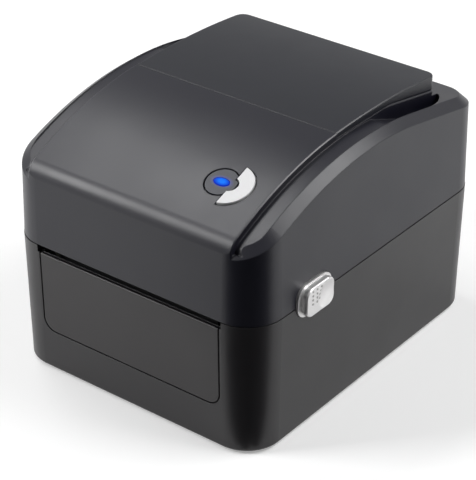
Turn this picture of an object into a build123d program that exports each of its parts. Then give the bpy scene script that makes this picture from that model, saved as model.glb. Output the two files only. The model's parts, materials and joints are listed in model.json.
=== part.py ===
from build123d import *
from math import asin, atan2, ceil, cos, degrees, floor, pi, radians, sin, sqrt, tan
import os

os.makedirs("parts", exist_ok=True)

# Desktop label printer with a clamshell cover. Sizes are in millimetres.
# The front faces -Y, +X is the right side seen from the front, and Z = 0 is the table top.

# Housing
case_width = 178.0
case_depth = 221.4
lower_height = 81.8
cover_rise = 75.6
corner_radius = 23.2
wall = 2.5
floor_thickness = 2.5
lower_draft = 0.96
cover_draft = 1.25
seam_gap = 0.5
base_edge_radius = 1.6
foot_proud = 1.5

# Arched top of the cover
arch_radius = 222.0
arch_centre_y = -1.5
rear_fall_angle = 10.5
shoulder_drop = 3.2
shoulder_bevel_across = 6.1
shoulder_bevel_down = 4.5
band_half_width = 71.0
band_front_radius = 12.0
band_edge_radius = 1.1
channel_half_width = 81.5
channel_depth = 0.8
channel_lean_share = 0.81
channel_front_run = 20.0
pocket_depth = 8.0
pocket_wall_share = 0.24
pocket_start_y = 16.0

# Raised plate on top of the cover
plate_front_y = -15.5
plate_rear_margin = 26.4
plate_half_width = 70.6
plate_radius = 570.0
plate_crown_y = 22.0
plate_corner_radius = 6.0
plate_seat_drop = 2.8
plate_skin = 2.2

# Clearances
running_gap = 0.05
sliding_gap = 0.3
fitted_gap = 0.4
seat_gap = 0.02

# Hinge of the cover
hinge_pin_radius = 2.5
hinge_lug_width = 7.0
hinge_lug_x = 58.0
barrel_wall = 3.7

# Front panel and label outlet
panel_half_width = 63.8
panel_bottom = 26.5
panel_corner_radius = 8.0
panel_thickness = 2.2
panel_gap = 0.7
panel_top_chamfer = 1.6
outlet_half_width = 65.7
outlet_height = 4.4
panel_ledge = 4.0

# Roll bay
roll_centre_y = 26.0
roll_drop = 12.0
bay_half_width = 63.5
tray_wall = 2.2
deck_drop = 4.0
deck_thickness = 2.5
tray_rear_margin = 15.2
dome_clearance = 2.0

# Drive
platen_behind_front = 18.0
platen_radius = 8.0
platen_top_drop = 2.4
platen_half_length = 56.0
platen_shaft_radius = 3.0
motor_behind_front = 32.7
motor_drop = 37.3
motor_radius = 17.5
motor_length = 22.0
gear_module = 0.6
platen_teeth = 28
idler_small_teeth = 20
idler_large_teeth = 46
pinion_teeth = 14
gear_width = 3.5
frame_ear_x = 64.5
frame_sheet = 1.5

# Screws
screw_radius = 1.2
screw_head_radius = 2.6
screw_head_height = 1.7
screw_length = 9.0

# Feed button and status light
feed_x = 40.4
feed_behind_front = 33.1
feed_disc_radius = 9.2
feed_button_radius = 14.0
feed_button_shift = 5.2
feed_cut_x = 6.9
feed_notch_radius = 5.0
feed_notch_x = 5.95
feed_gap = 0.9
light_length = 10.4
light_width = 6.0

# Release buttons
release_behind_front = 51.2
release_above_seam = 1.7
release_length = 31.0
release_height = 19.5
release_face_length = 25.3
release_face_height = 17.6
release_proud = 5.1
release_base_proud = 1.0

seam_z = foot_proud + lower_height
crown_z = seam_z + cover_rise
arch_centre_z = crown_z - arch_radius
half_width = case_width / 2
half_depth = case_depth / 2
lower_top_z = seam_z - seam_gap / 2
cover_bottom_z = seam_z + seam_gap / 2
plate_rear_y = half_depth - plate_rear_margin
tray_rear_y = half_depth - tray_rear_margin
platen_y = -half_depth + platen_behind_front
motor_y = -half_depth + motor_behind_front
motor_z = seam_z - motor_drop
feed_y = -half_depth + feed_behind_front
release_y = -half_depth + release_behind_front


def lower_inset(z):
    """How far the lower case leans in at height z."""
    return (seam_z - z) * tan(radians(lower_draft))


def cover_inset(z):
    """How far the cover leans in at height z."""
    return (z - seam_z) * tan(radians(cover_draft))


def rounded_block(z_low, z_high, inset_low, inset_high):
    """A leaning block with the housing's rounded plan, drawn in by an inset at each end."""
    with BuildPart() as block:
        for z, inset in ((z_low, inset_low), (z_high, inset_high)):
            with BuildSketch(Plane.XY.offset(z)):
                RectangleRounded(case_width - 2 * inset, case_depth - 2 * inset, corner_radius - inset)
        loft(ruled=True)
    return block.part


def arch_height(y, drop):
    """Height of the cover's arch at y, lowered by drop."""
    radius = arch_radius - drop
    rear_y = arch_centre_y + radius * sin(radians(rear_fall_angle))
    if y <= rear_y:
        return arch_centre_z + sqrt(radius ** 2 - (y - arch_centre_y) ** 2)
    rear_z = arch_centre_z + radius * cos(radians(rear_fall_angle))
    return rear_z - (y - rear_y) * tan(radians(rear_fall_angle))


def arch_block(drop, reach, z_base, front_y=-half_depth - 5, rear_y=half_depth + 5, front_radius=0):
    """Everything under the arch lowered by drop, from z_base up, reach wide each side of the middle."""
    radius = arch_radius - drop
    turn_y = arch_centre_y + radius * sin(radians(rear_fall_angle))
    middle_y = (front_y + turn_y) / 2
    front = (front_y, arch_height(front_y, drop))
    lean = (front[1] - z_base) * tan(radians(cover_draft)) if front_radius else 0
    with BuildPart() as block:
        with BuildSketch(Plane.YZ):
            with BuildLine():
                Line((front_y - lean, z_base), front)
                ThreePointArc(front, (middle_y, arch_height(middle_y, drop)),
                              (turn_y, arch_height(turn_y, drop)))
                Line((turn_y, arch_height(turn_y, drop)), (rear_y, arch_height(rear_y, drop)))
                Polyline((rear_y, arch_height(rear_y, drop)), (rear_y, z_base), (front_y - lean, z_base))
            make_face()
            if front_radius:
                corner = vertices().sort_by(lambda v: (v.X - front[0]) ** 2 + (v.Y - front[1]) ** 2)[0]
                fillet(corner, front_radius)
        extrude(amount=reach, both=True)
    return block.part


def leaning_front_y(drop, inset):
    """Where the cover's leaning front face, moved in by an inset, meets the lowered arch."""
    y = -half_depth
    for _ in range(30):
        y = -half_depth + inset + cover_inset(arch_height(y, drop))
    return y


def channel_plan(margin=0.0):
    """Outline of the right-hand channel seen from above, closed on the band's side."""
    inner = band_half_width - margin
    outer = channel_half_width + margin
    rear = plate_rear_y + 0.4 + margin
    with BuildSketch() as plan:
        with BuildLine():
            front_start = (outer, -half_depth + 2 * corner_radius - channel_front_run - 4.4)
            front_tip = (outer - channel_lean_share * (outer - inner), -half_depth + 1.8 - margin)
            rear_start = (outer, rear - 1.25 * channel_front_run)
            rear_tip = (inner + 1.5, rear)
            Line((inner, front_tip[1]), front_tip)
            TangentArc(front_start, front_tip, tangent=(0, -1))
            Line(front_start, rear_start)
            TangentArc(rear_start, rear_tip, tangent=(0, 1))
            Polyline(rear_tip, (inner, rear), (inner, front_tip[1]))
        make_face()
    return plan.sketch


def slab(x0, x1, y0, y1, z0, z1, mode=Mode.ADD):
    """A straight-sided block between the given limits."""
    with Locations(((x0 + x1) / 2, (y0 + y1) / 2, (z0 + z1) / 2)):
        Box(abs(x1 - x0), abs(y1 - y0), abs(z1 - z0), mode=mode)


def rod_x(radius, x0, x1, y, z, mode=Mode.ADD):
    """A round rod or bore along X."""
    with Locations(Location(((x0 + x1) / 2, y, z), (0, 90, 0))):
        Cylinder(radius, abs(x1 - x0), mode=mode)


def rod_y(radius, x, y0, y1, z, mode=Mode.ADD):
    """A round rod or bore along Y."""
    with Locations(Location((x, (y0 + y1) / 2, z), (90, 0, 0))):
        Cylinder(radius, abs(y1 - y0), mode=mode)


def rod_z(radius, x, y, z0, z1, mode=Mode.ADD):
    """A round rod or bore along Z."""
    with Locations((x, y, (z0 + z1) / 2)):
        Cylinder(radius, abs(z1 - z0), mode=mode)


def screw(x, y, head_z, direction):
    """A pan-head screw whose head sits on a face at head_z, with its shank going up (1) or down (-1)."""
    rod_z(screw_head_radius, x, y, head_z, head_z - direction * screw_head_height)
    rod_z(screw_radius, x, y, head_z - direction * 0.5, head_z + direction * screw_length)
    slab(x - 1.8, x + 1.8, y - 0.35, y + 0.35, head_z - direction * screw_head_height,
         head_z - direction * (screw_head_height - 0.7), mode=Mode.SUBTRACT)


# Construction bodies of the cover: the band, the shoulders and the two channels beside the band
cover_outer = rounded_block(cover_bottom_z, crown_z + 4, cover_inset(cover_bottom_z),
                            cover_inset(crown_z + 4))

with BuildPart() as shoulders:
    add(cover_outer)
    add(arch_block(shoulder_drop, half_width + 5, cover_bottom_z - 5), mode=Mode.INTERSECT)
    shoulder_top = shoulders.faces().filter_by(GeomType.CYLINDER).sort_by(Axis.Z)[-1]
    shoulder_edge = shoulder_top.edges().sort_by(Axis.X)[-1]
    chamfer(shoulder_edge, shoulder_bevel_across, shoulder_bevel_down, reference=shoulder_top)

with BuildPart() as band:
    add(arch_block(0, band_half_width, cover_bottom_z + 20, leaning_front_y(0, 0), plate_rear_y,
                   band_front_radius))
    fillet(band.edges().filter_by(Axis.Z).sort_by(Axis.Y)[-2:], plate_corner_radius)
    fillet(band.edges().filter_by(GeomType.CIRCLE).sort_by(Axis.X)[-1], band_edge_radius)
    add(cover_outer, mode=Mode.INTERSECT)

channel_floor_drop = shoulder_drop + channel_depth
channel_foot_z = seam_z + 42.0
with BuildPart() as channel:
    with BuildSketch(Plane.XY.offset(channel_foot_z)):
        add(channel_plan())
    extrude(amount=crown_z - channel_foot_z + 5)
    add(
        arch_block(channel_floor_drop, half_width, channel_foot_z - 20,
                   leaning_front_y(channel_floor_drop, channel_floor_drop), half_depth,
                   band_front_radius - channel_floor_drop),
        mode=Mode.SUBTRACT,
    )

channel_width = channel_half_width - band_half_width
pocket_wall_x = channel_half_width - pocket_wall_share * channel_width
pocket_run = plate_rear_y + 5 - pocket_start_y


def pocket_fall(y):
    """How far the pocket's floor has sunk beside the band at y."""
    return 0.05 + pocket_depth * sin(pi / 2 * min(1.0, (y - pocket_start_y) / (0.6 * pocket_run)))


with BuildPart() as pocket:
    for share in (0.0, 0.15, 0.3, 0.45, 0.6, 1.0):
        y = pocket_start_y + share * pocket_run
        floor_z = arch_height(y, channel_floor_drop)
        with BuildSketch(Plane.XZ.offset(-y)):
            with BuildLine():
                Polyline((band_half_width, floor_z - pocket_fall(y)),
                         (pocket_wall_x, floor_z - pocket_fall(y)),
                         (channel_half_width, floor_z), (channel_half_width, floor_z + 12),
                         (band_half_width, floor_z + 12), close=True)
            make_face()
    loft(ruled=True)
    with BuildSketch(Plane.XY.offset(channel_foot_z - 10)):
        add(channel_plan())
    extrude(amount=crown_z - channel_foot_z + 20, mode=Mode.INTERSECT)

# Plate seat, feed button place and hinge axis
seat_z = arch_height(plate_front_y, 0) - plate_seat_drop
hinge_z = seam_z + 0.7
barrel_radius = hinge_pin_radius + barrel_wall
hinge_y = half_depth - cover_inset(hinge_z) - barrel_radius
hinge_plane = Plane(origin=(0, hinge_y, hinge_z), x_dir=(0, 1, 0), z_dir=(1, 0, 0))
feed_tilt = degrees(asin((arch_centre_y - feed_y) / arch_radius))
feed_plane = Plane(origin=(feed_x, feed_y, arch_height(feed_y, 0)), x_dir=(1, 0, 0),
                   z_dir=(0, -sin(radians(feed_tilt)), cos(radians(feed_tilt))))


def feed_button_outline(grow, notched=True):
    """The crescent of the feed button, grown all round, with or without the notch for the status light."""
    with BuildSketch() as outline:
        with Locations((feed_button_shift, 0)):
            Circle(feed_button_radius + grow)
        with Locations((feed_cut_x - grow - 40, 0)):
            Rectangle(80, 80, mode=Mode.SUBTRACT)
        if notched:
            with Locations((feed_notch_x, 0)):
                Circle(feed_notch_radius - grow, mode=Mode.SUBTRACT)
    return outline.sketch


side_ceiling_drop = channel_floor_drop + pocket_depth + 1.8
inner_bottom_z = cover_bottom_z - 1
with BuildPart() as band_hollow:
    add(
        arch_block(wall, band_half_width - wall, cover_bottom_z + 15, leaning_front_y(wall, wall),
                   plate_rear_y - wall, band_front_radius - wall)
    )
    with BuildSketch(Plane.XY.offset(seat_z - wall)):
        Rectangle(case_width, case_depth)
    extrude(amount=20, mode=Mode.SUBTRACT)

with BuildPart() as cover_hollow:
    add(rounded_block(inner_bottom_z, crown_z, wall + cover_inset(inner_bottom_z),
                      wall + cover_inset(crown_z)))
    add(arch_block(side_ceiling_drop, half_width, inner_bottom_z - 5), mode=Mode.INTERSECT)
    add(band_hollow.part)

# Upper cover: arched clamshell half with the hinge barrel along its rear edge
release_z = seam_z + release_above_seam
liner_post_x = half_width - 12
liner_post_rows = (-half_depth + 74.7, half_depth - 48.7)
liner_post_places = [(x, y) for x in (-liner_post_x, liner_post_x) for y in liner_post_rows]
plate_peg_places = [(x, y) for x in (-52.0, 52.0) for y in (2.0, 70.0)]
plate_peg_radius = 2.2
board_depth = 11.0
board_thickness = 1.6
board_post_places = [(x, y) for x in (-17.0, 25.0) for y in (-12.0, 12.0)]
barrel_half_length = half_width - 7.5
with BuildPart() as upper_cover:
    add(shoulders.part)
    add(band.part)
    add(channel.part, mode=Mode.SUBTRACT)
    add(channel.part.mirror(Plane.YZ), mode=Mode.SUBTRACT)
    add(pocket.part, mode=Mode.SUBTRACT)
    add(pocket.part.mirror(Plane.YZ), mode=Mode.SUBTRACT)
    add(cover_hollow.part, mode=Mode.SUBTRACT)
    # seat of the raised plate
    with BuildSketch(Plane.XY.offset(seat_z)):
        with Locations((0, plate_front_y - fitted_gap + 30)):
            Rectangle(2 * band_half_width + 1, 60)
    extrude(amount=20, mode=Mode.SUBTRACT)
    with BuildSketch(Plane.XY.offset(seat_z - 40)):
        with Locations(*plate_peg_places):
            Circle(plate_peg_radius + 0.2)
    extrude(amount=60, mode=Mode.SUBTRACT)
    # posts that the inner moulding is screwed to
    for x, y in liner_post_places:
        with BuildSketch(Plane.XY.offset(seam_z + 3.72)):
            with Locations((x, y)):
                Circle(4)
        extrude(amount=arch_height(y, side_ceiling_drop - 2) - seam_z - 3.72)
        rod_z(screw_radius + running_gap, x, y, seam_z + 3, seam_z + 14, mode=Mode.SUBTRACT)
    # hinge barrel, rounded about the hinge axis and trimmed to the housing's plan
    with BuildSketch(hinge_plane.offset(-barrel_half_length)):
        Circle(barrel_radius)
    extrude(amount=2 * barrel_half_length)
    add(rounded_block(hinge_z - 10, crown_z + 4, 0.02, cover_inset(crown_z + 4)), mode=Mode.INTERSECT)
    for side in (-1, 1):
        with BuildSketch(hinge_plane.offset(side * hinge_lug_x - hinge_lug_width / 2 - sliding_gap)):
            Circle(barrel_radius + sliding_gap)
        extrude(amount=hinge_lug_width + 2 * sliding_gap, mode=Mode.SUBTRACT)
        with BuildSketch(hinge_plane.offset(side * (hinge_lug_x - 16))):
            Circle(hinge_pin_radius + running_gap)
        extrude(amount=side * 50, mode=Mode.SUBTRACT)
    # half openings for the release buttons
    for side in (-1, 1):
        with BuildSketch(Plane.YZ.offset(side * (half_width - 12))):
            with Locations((release_y, release_z)):
                RectangleRounded(release_length + 2 * fitted_gap, release_height + 2 * fitted_gap,
                                 8 + fitted_gap)
        extrude(amount=side * 20, mode=Mode.SUBTRACT)
    # opening and posts for the feed button and its board
    with BuildSketch(feed_plane.offset(-board_depth)):
        Circle(feed_disc_radius + feed_gap)
        add(feed_button_outline(feed_gap, notched=False))
    extrude(amount=board_depth + 5, mode=Mode.SUBTRACT)
    with BuildSketch(feed_plane.offset(-board_depth + seat_gap)):
        with Locations(*board_post_places):
            Circle(2.5)
    extrude(amount=board_depth - 1.5)
    upper_cover.part.label = "upper_cover"
export_step(upper_cover.part, "parts/upper_cover.step")

# Raised plate on the arch: flush with the band in front, a tapering wedge towards the rear
plate_peak_z = arch_height(plate_front_y, 0) + (plate_crown_y - plate_front_y) ** 2 / (2 * plate_radius)


def plate_top(y, drop=0.0):
    """Height of the raised plate's gently curved top at y."""
    radius = plate_radius - drop
    return plate_peak_z - plate_radius + sqrt(radius ** 2 - (y - plate_crown_y) ** 2)


arch_meets_seat_y = arch_centre_y + sqrt(arch_radius ** 2 - (seat_z - arch_centre_z) ** 2)
plate_mid_y = (plate_front_y + plate_rear_y) / 2
plate_lift = 0.25
with BuildPart() as top_plate:
    with BuildSketch(Plane.YZ):
        with BuildLine():
            meet = (arch_meets_seat_y + 1.5, seat_z + seat_gap)
            bend_y = (meet[0] + plate_rear_y) / 2
            Polyline((plate_front_y, plate_top(plate_front_y)), (plate_front_y, seat_z + seat_gap), meet)
            Line(meet, (bend_y, arch_height(bend_y, 0) + plate_lift))
            heel = (plate_rear_y, arch_height(plate_rear_y, 0) + plate_lift)
            rear_top = (plate_rear_y, plate_top(plate_rear_y))
            Line((bend_y, arch_height(bend_y, 0) + plate_lift), heel)
            Line(heel, rear_top)
            ThreePointArc(rear_top, (plate_mid_y, plate_top(plate_mid_y)),
                          (plate_front_y, plate_top(plate_front_y)))
        make_face()
    extrude(amount=plate_half_width, both=True)
    fillet(top_plate.edges().filter_by(Axis.Z).sort_by(Axis.Y)[-2:], plate_corner_radius)
    fillet(top_plate.faces().filter_by(GeomType.CYLINDER).sort_by(SortBy.AREA)[-1].edges().filter_by(
        GeomType.CIRCLE).sort_by(Axis.X)[-1], band_edge_radius)
    # hollow underside with a rib along each side
    with BuildSketch(Plane.YZ):
        with BuildLine():
            low = seat_z - 20
            front = (plate_front_y + 14, plate_top(plate_front_y + 14, plate_skin))
            rear = (plate_rear_y - plate_skin, plate_top(plate_rear_y - plate_skin, plate_skin))
            ThreePointArc(front, (plate_mid_y, plate_top(plate_mid_y, plate_skin)), rear)
            Polyline(rear, (rear[0], low), (front[0], low), front)
        make_face()
    extrude(amount=plate_half_width - plate_corner_radius, both=True, mode=Mode.SUBTRACT)
    for x, y in plate_peg_places:
        with BuildSketch(Plane.XY.offset(arch_height(y, wall + 3))):
            with Locations((x, y)):
                Circle(plate_peg_radius)
        extrude(amount=plate_top(y, 1) - arch_height(y, wall + 3))
    top_plate.part.label = "top_plate"
export_step(top_plate.part, "parts/top_plate.step")

# Lower case
floor_top_z = foot_proud + floor_thickness
deck_top_z = seam_z - deck_drop
deck_under_z = deck_top_z - deck_thickness
support_z = deck_under_z - seat_gap
outlet_bottom_z = seam_z - outlet_height
pad_back_y = -half_depth + 4.5
roll_z = seam_z - roll_drop
rack_z = floor_top_z + 1.8
rack_height = 6.0
bay_bottom_z = rack_z + rack_height + 2.3
roll_radius = roll_z - tray_wall - bay_bottom_z
front_plane = Plane(origin=(0, -half_depth, seam_z), x_dir=(1, 0, 0),
                    z_dir=(0, -cos(radians(lower_draft)), -sin(radians(lower_draft))))
rear_plane = Plane(origin=(0, half_depth, seam_z), x_dir=(-1, 0, 0),
                   z_dir=(0, cos(radians(lower_draft)), -sin(radians(lower_draft))))
tray_post_x = half_width - 12
tray_post_rows = (-half_depth + 85.7, half_depth - 40.7)
tray_post_places = [(x, y) for x in (-tray_post_x, tray_post_x) for y in tray_post_rows]
foot_x = half_width - 21
foot_y = half_depth - 22.7
foot_places = [(x, y) for x in (-foot_x, foot_x) for y in (-foot_y, foot_y)]
board_rear_y = half_depth - 5.3
board_front_y = board_rear_y - 50.4
standoff_places = [(x, y) for x in (-54.0, 56.0) for y in (board_front_y + 5, board_rear_y - 4.4)]
foot_radius = 6.8
board_z = 10.0
jack_x = 22.0
usb_x = -3.0
socket_z = 17.4
switch_x = 46.0
switch_z = 27.0
switch_length = 21.0
switch_height = 15.0
fanfold_half_width = 53.5
ledge_x = 80.0
ledge_top_z = seam_z - 9
ledge_under_z = ledge_top_z - 3
fanfold_top_z = seam_z - 12.3
fanfold_low_z = fanfold_top_z - 5
pad_low_z = foot_proud + panel_bottom - 8
lug_radius = barrel_radius - 0.2


def panel_outline(grow):
    """The front panel's outline with its two rounded lower corners, grown all round."""
    low = foot_proud + panel_bottom - seam_z - grow
    high = -outlet_height - 0.2 + grow
    with BuildSketch() as outline:
        with Locations((0, (low + high) / 2)):
            Rectangle(2 * (panel_half_width + grow), high - low)
        fillet(outline.vertices().group_by(Axis.Y)[0], panel_corner_radius + grow)
    return outline.sketch


with BuildPart() as lower_case:
    add(rounded_block(foot_proud, lower_top_z, lower_inset(foot_proud), lower_inset(lower_top_z)))
    fillet(lower_case.edges().group_by(Axis.Z)[0], base_edge_radius)
    add(
        rounded_block(floor_top_z, lower_top_z + 1, wall + lower_inset(floor_top_z),
                      wall + lower_inset(lower_top_z + 1)),
        mode=Mode.SUBTRACT,
    )
    # pad behind the front panel, which also carries the deck's front edge
    slab(-70, 70, -half_depth + 1.6, pad_back_y, pad_low_z, support_z)
    with BuildSketch(front_plane.offset(-panel_thickness - seat_gap)):
        add(panel_outline(panel_gap))
    extrude(amount=8, mode=Mode.SUBTRACT)
    with BuildSketch(front_plane.offset(-8)):
        add(panel_outline(-panel_ledge))
    extrude(amount=10, mode=Mode.SUBTRACT)
    slab(-outlet_half_width, outlet_half_width, -half_depth - 2, pad_back_y, outlet_bottom_z,
         lower_top_z + 2,
         mode=Mode.SUBTRACT)
    for side in (-1, 1):
        # lower half of the release button's opening, and the ledge that the latch hooks under
        with BuildSketch(Plane.YZ.offset(side * (half_width - 12))):
            with Locations((release_y, release_z)):
                RectangleRounded(release_length + 2 * fitted_gap, release_height + 2 * fitted_gap,
                                 8 + fitted_gap)
        extrude(amount=side * 20, mode=Mode.SUBTRACT)
        slab(side * ledge_x, side * (half_width - 1.5), release_y - 7.5, release_y + 7.5, ledge_under_z,
             ledge_top_z)
        slab(side * (ledge_x + 4), side * (half_width - 1.5), release_y - 7.5, release_y - 5.5,
             ledge_under_z - 9.3,
             ledge_under_z)
        slab(side * (ledge_x + 4), side * (half_width - 1.5), release_y + 5.5, release_y + 7.5,
             ledge_under_z - 9.3,
             ledge_under_z)
    # posts for the tray and the main board
    for x, y in tray_post_places:
        rod_z(4, x, y, floor_top_z - 1, support_z)
        rod_z(screw_radius + running_gap, x, y, support_z - 12, support_z + 1, mode=Mode.SUBTRACT)
    for x, y in standoff_places:
        rod_z(3, x, y, floor_top_z - 1, board_z - seat_gap)
        rod_z(screw_radius + running_gap, x, y, floor_top_z + 0.5, board_z, mode=Mode.SUBTRACT)
    # trough for the hinge barrel, and the lugs that hold the hinge pins
    rod_x(barrel_radius + fitted_gap, -barrel_half_length - 0.5, barrel_half_length + 0.5, hinge_y, hinge_z,
          mode=Mode.SUBTRACT)
    slab(-half_width, half_width, hinge_y - 1, half_depth + 2, hinge_z - barrel_radius - fitted_gap,
         seam_z + 5,
         mode=Mode.SUBTRACT)
    for side in (-1, 1):
        with BuildSketch(hinge_plane.offset(side * hinge_lug_x - hinge_lug_width / 2)):
            Circle(lug_radius)
            with BuildLine():
                web_top = -barrel_radius - 0.9
                Polyline((-lug_radius, 0), (-lug_radius, -22), (half_depth - wall / 2 - hinge_y - 1, -32),
                         (half_depth - wall / 2 - hinge_y - 1, web_top), (0, web_top), (0, 0), close=True)
            make_face()
            Circle(hinge_pin_radius + seat_gap, mode=Mode.SUBTRACT)
        extrude(amount=hinge_lug_width)
    # rear openings: fanfold labels, power switch, power jack and data socket
    slab(-fanfold_half_width, fanfold_half_width, half_depth - 6, half_depth + 2, fanfold_low_z,
         fanfold_top_z,
         mode=Mode.SUBTRACT)
    slab(switch_x - switch_length / 2, switch_x + switch_length / 2, half_depth - 8, half_depth + 2,
         switch_z - switch_height / 2, switch_z + switch_height / 2, mode=Mode.SUBTRACT)
    rod_y(4.8, jack_x, half_depth - 8, half_depth + 2, socket_z, mode=Mode.SUBTRACT)
    slab(usb_x - 6.4, usb_x + 6.4, half_depth - 8, half_depth + 2, socket_z - 5.8, socket_z + 5.8,
         mode=Mode.SUBTRACT)
    for x, y in foot_places:
        rod_z(foot_radius + 0.2, x, y, foot_proud - 1, foot_proud + 1, mode=Mode.SUBTRACT)
    lower_case.part.label = "lower_case"
export_step(lower_case.part, "parts/lower_case.step")

# Front panel, clipped into the window below the label outlet
with BuildPart() as front_panel:
    with BuildSketch(front_plane.offset(-panel_thickness)):
        add(panel_outline(0))
    extrude(amount=panel_thickness)
    fillet(front_panel.faces().sort_by(Axis.Y)[0].edges(), 0.5)
    # the top edge falls away behind, so that the outlet stays dark and labels don't catch
    top_rear_edge = front_panel.faces().sort_by(Axis.Z)[-1].edges().filter_by(Axis.X).sort_by(Axis.Y)[-1]
    chamfer(top_rear_edge, panel_top_chamfer)
    with BuildSketch(front_plane.offset(-panel_thickness - 3.5)):
        add(panel_outline(-panel_ledge - fitted_gap))
        add(panel_outline(-panel_ledge - fitted_gap - 1.6), mode=Mode.SUBTRACT)
    extrude(amount=3.5)
    rim_top = outlet_bottom_z - 0.2 - panel_ledge - fitted_gap
    rim_low = foot_proud + panel_bottom + panel_ledge + fitted_gap
    for x in (-36, 36):
        slab(x - 5, x + 5, pad_back_y + 0.1, pad_back_y + 1.1, rim_top - 1, rim_top + 1.1)
        slab(x - 5, x + 5, pad_back_y + 0.1, pad_back_y + 1.6, rim_low - 1.1, rim_low + 1)
    front_panel.part.label = "front_panel"
export_step(front_panel.part, "parts/front_panel.step")

# Rubber feet, glued into shallow pockets
with BuildPart() as rubber_feet:
    with BuildSketch(Plane.XY):
        with Locations(*foot_places):
            Circle(foot_radius)
    extrude(amount=foot_proud + 1 - seat_gap)
    chamfer(rubber_feet.edges().group_by(Axis.Z)[0], 0.6)
    rubber_feet.part.label = "rubber_feet"
export_step(rubber_feet.part, "parts/rubber_feet.step")

# Hinge pins, fixed in the lugs and turning in the barrel
for side, name in ((-1, "hinge_pin_left"), (1, "hinge_pin_right")):
    with BuildPart() as hinge_pin:
        rod_x(hinge_pin_radius, side * (hinge_lug_x - 14), side * (hinge_lug_x + 14), hinge_y, hinge_z)
        chamfer(hinge_pin.edges().filter_by(GeomType.CIRCLE), 0.5)
        hinge_pin.part.label = name
    export_step(hinge_pin.part, "parts/" + name + ".step")

# Inner tray: flat deck with the roll bay hanging from it
slot_length = 18.0
platen_z = seam_z - platen_top_drop - platen_radius
sensor_y = release_y - 0.5
sensor_rail_z = deck_under_z - 3.2
cut_low_z = deck_under_z - 6.8
cut_high_z = deck_top_z + 2.7
with BuildPart() as inner_tray:
    deck_inset = wall + fitted_gap + lower_inset(deck_under_z)
    with BuildSketch(Plane.XY.offset(deck_under_z)):
        RectangleRounded(case_width - 2 * deck_inset, case_depth - 2 * deck_inset,
                         corner_radius - deck_inset)
    extrude(amount=deck_thickness)
    slab(-half_width, half_width, tray_rear_y, half_depth, deck_under_z - 1, deck_top_z + 1,
         mode=Mode.SUBTRACT)
    # roll bay
    rod_x(roll_radius + tray_wall, -bay_half_width - tray_wall, bay_half_width + tray_wall, roll_centre_y,
          roll_z)
    slab(-half_width, half_width, -half_depth, half_depth, deck_top_z, deck_top_z + 70, mode=Mode.SUBTRACT)
    rod_x(roll_radius, -bay_half_width, bay_half_width, roll_centre_y, roll_z, mode=Mode.SUBTRACT)
    # slots for the roll holders' stems, and the way in for fanfold labels
    for side in (-1, 1):
        slab(side * 20, side * 55, roll_centre_y - 4.3, roll_centre_y + 4.3, bay_bottom_z - 4,
             bay_bottom_z + 11,
             mode=Mode.SUBTRACT)
    slab(-fanfold_half_width, fanfold_half_width, roll_centre_y + 30, roll_centre_y + roll_radius + 7,
         fanfold_low_z - 2, fanfold_top_z + 2, mode=Mode.SUBTRACT)
    # openings round the platen, its gear, the label sensor, the latches and the release buttons
    slab(-63, 63, -half_depth, platen_y + 8.6, cut_low_z, cut_high_z, mode=Mode.SUBTRACT)
    slab(-68.5, 68.5, platen_y - 5.6, platen_y + 5.6, cut_low_z, cut_high_z, mode=Mode.SUBTRACT)
    slab(-77, -67, platen_y - 10.8, platen_y + 10.7, cut_low_z, cut_high_z, mode=Mode.SUBTRACT)
    slab(-57, 57, sensor_y - 3, sensor_y + 3, cut_low_z, cut_high_z, mode=Mode.SUBTRACT)
    for side in (-1, 1):
        slab(side * 65.8, side * half_width, release_y - slot_length / 2, release_y + slot_length / 2,
             cut_low_z, cut_high_z, mode=Mode.SUBTRACT)
        slab(side * 81.4, side * half_width, release_y - 17, release_y + 17, cut_low_z, cut_high_z,
             mode=Mode.SUBTRACT)
        # bracket of the sensor's rail
        slab(side * 60, side * 62, sensor_y - 4, sensor_y + 4, sensor_rail_z - 4, deck_under_z + 1)
        rod_x(1.5 + seat_gap, side * 59, side * 63, sensor_y, sensor_rail_z, mode=Mode.SUBTRACT)
    for x, y in tray_post_places:
        rod_z(screw_radius + 0.2, x, y, cut_low_z, cut_high_z, mode=Mode.SUBTRACT)
    inner_tray.part.label = "inner_tray"
export_step(inner_tray.part, "parts/inner_tray.step")

with BuildPart() as tray_screws:
    for x, y in tray_post_places:
        screw(x, y, deck_top_z + seat_gap, -1)
    tray_screws.part.label = "tray_screws"
export_step(tray_screws.part, "parts/tray_screws.step")

# Drive train: steel frame, platen with its bearings, idler and motor on the left
ear_out_x = frame_ear_x + frame_sheet
gear_plane_x = -71.0
big_gear_plane_x = -75.5
bearing_radius = 5.0
idler_post_radius = 2.0
platen_gear_radius = gear_module * platen_teeth / 2
idler_small_radius = gear_module * idler_small_teeth / 2
idler_large_radius = gear_module * idler_large_teeth / 2
pinion_radius = gear_module * pinion_teeth / 2
span_y = platen_y - motor_y
span_z = platen_z - motor_z
span = sqrt(span_y ** 2 + span_z ** 2)
to_platen = platen_gear_radius + idler_small_radius
to_motor = idler_large_radius + pinion_radius
along = (to_motor ** 2 - to_platen ** 2 + span ** 2) / (2 * span)
across = sqrt(to_motor ** 2 - along ** 2)
idler_y = motor_y + along * span_y / span - across * span_z / span
idler_z = motor_z + along * span_z / span + across * span_y / span


def gear_outline(teeth, module, turned):
    """A spur gear's outline with straight-sided teeth, one of them centred at the angle turned."""
    pitch_radius = module * teeth / 2
    step = 2 * pi / teeth
    corners = []
    for tooth in range(teeth):
        middle = radians(turned) + tooth * step
        for radius, share in ((pitch_radius - 1.25 * module, -0.30), (pitch_radius + 0.9 * module, -0.10),
                              (pitch_radius + 0.9 * module, 0.10), (pitch_radius - 1.25 * module, 0.30)):
            angle = middle + share * step
            corners.append((radius * cos(angle), radius * sin(angle)))
    with BuildSketch() as outline:
        with BuildLine():
            Polyline(*corners, close=True)
        make_face()
    return outline.sketch


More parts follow.
